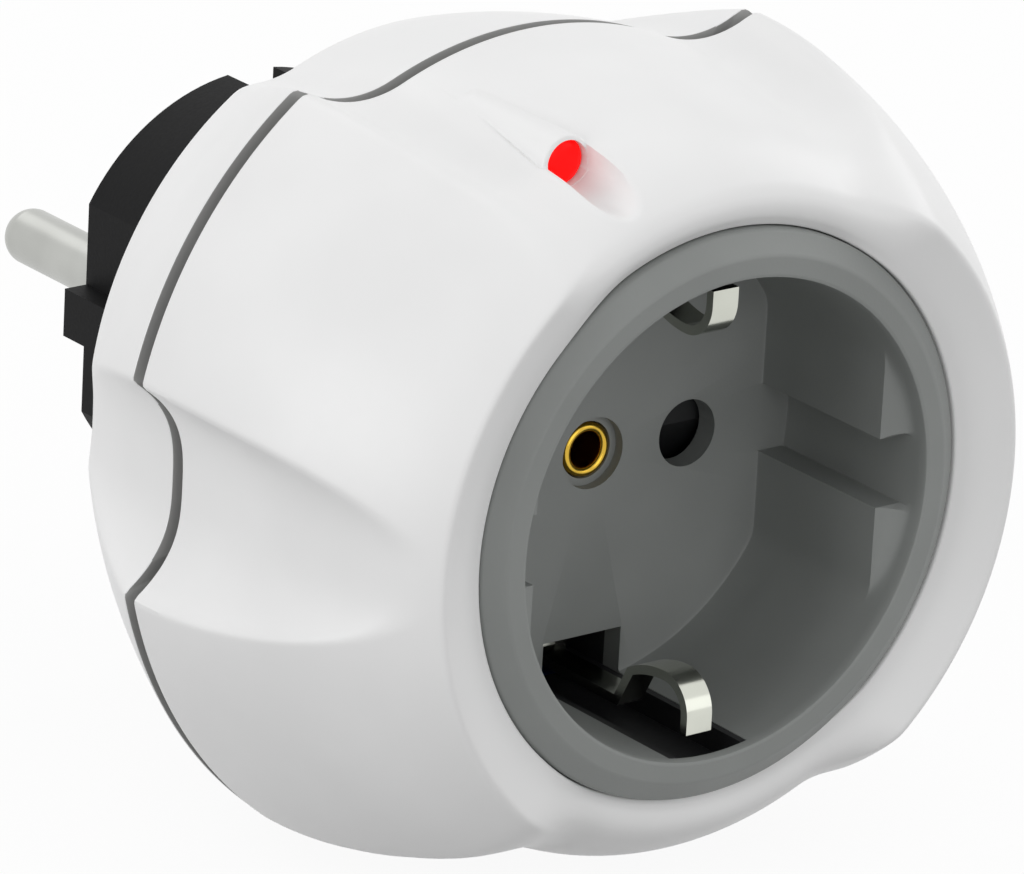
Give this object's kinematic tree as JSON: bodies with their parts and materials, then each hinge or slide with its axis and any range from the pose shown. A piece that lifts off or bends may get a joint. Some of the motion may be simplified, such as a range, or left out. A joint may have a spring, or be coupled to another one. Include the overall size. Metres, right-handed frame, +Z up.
{
  "type": "surge protector adapter",
  "caption": "Plug-in surge protector with a round earthed socket, rounded white housing with finger scoops, red indicator lamp and black two-pin plug.",
  "frame": {"origin": "middle of the plug's rear face between its two pins, in the plane of the wall socket's floor", "axes": "+X right seen from the front, +Y into the wall along the plug pins, +Z up; the socket opens towards -Y"},
  "size_m": [0.0738, 0.0852, 0.0652],
  "materials": {
    "housing_white": "satin moulded plastic",
    "insert_grey": "fine matt moulded plastic",
    "shutter_black": "matt",
    "plug_black": "fine matt moulded plastic",
    "carrier_black": "matt",
    "brass": "stamped, satin",
    "nickel": "nickel plated, satin",
    "spring_steel": "drawn wire",
    "zinc_steel": "zinc plated",
    "varistor_blue": "dipped coating",
    "tube_ceramic": "unglazed",
    "fuse_ceramic": "unglazed",
    "resistor_tan": "coated",
    "diode_black": "moulded",
    "board_green": "coated laminate",
    "lamp_red": "clear red, glowing"
  },
  "bodies": {
    "housing": {"front_shell": "housing_white", "rear_shell": "housing_white", "socket_insert": "insert_grey", "clip_cradle_upper": "carrier_black", "clip_cradle_lower": "carrier_black", "centre_bush": "brass", "shutter_spring": "spring_steel", "contact_carrier": "carrier_black", "line_contact": "brass", "neutral_contact": "brass", "line_busbar": "brass", "neutral_busbar": "brass", "earth_bridge": "nickel", "plug_body": "plug_black", "line_pin": "nickel", "neutral_pin": "nickel", "plug_earth_strip_upper": "nickel", "plug_earth_strip_lower": "nickel", "varistor_right": "varistor_blue", "varistor_left": "varistor_blue", "varistor_lower": "varistor_blue", "gas_discharge_tube": "tube_ceramic", "line_fuse": "fuse_ceramic", "lamp_resistor": "resistor_tan", "lamp_diode": "diode_black", "thermal_fuse": "fuse_ceramic", "indicator_lamp": "lamp_red", "circuit_board": "board_green", "housing_screws": "zinc_steel", "carrier_screws": "zinc_steel", "board_screws": "zinc_steel"},
    "shutter_body": {"shutter": "shutter_black"},
    "clip_upper_body": {"earth_clip_upper": "nickel"},
    "clip_lower_body": {"earth_clip_lower": "nickel"}
  },
  "joints": [
    {"name": "shutter_turn", "type": "hinge", "parent": "housing", "child": "shutter_body", "pos_m": [0, -0.04455, 0], "axis": [0, -1, 0], "range_deg": [0, 40], "stiffness_Nm_per_rad": 0.004, "springref_deg": -20.05},
    {"name": "clip_upper_flex", "type": "hinge", "parent": "housing", "child": "clip_upper_body", "pos_m": [0, -0.0414, 0.0186], "axis": [-1, 0, 0], "range_deg": [0, 7], "stiffness_Nm_per_rad": 0.8, "springref_deg": -2.86},
    {"name": "clip_lower_flex", "type": "hinge", "parent": "housing", "child": "clip_lower_body", "pos_m": [0, -0.0414, -0.0186], "axis": [1, 0, 0], "range_deg": [0, 7], "stiffness_Nm_per_rad": 0.8, "springref_deg": -2.86}
  ]
}
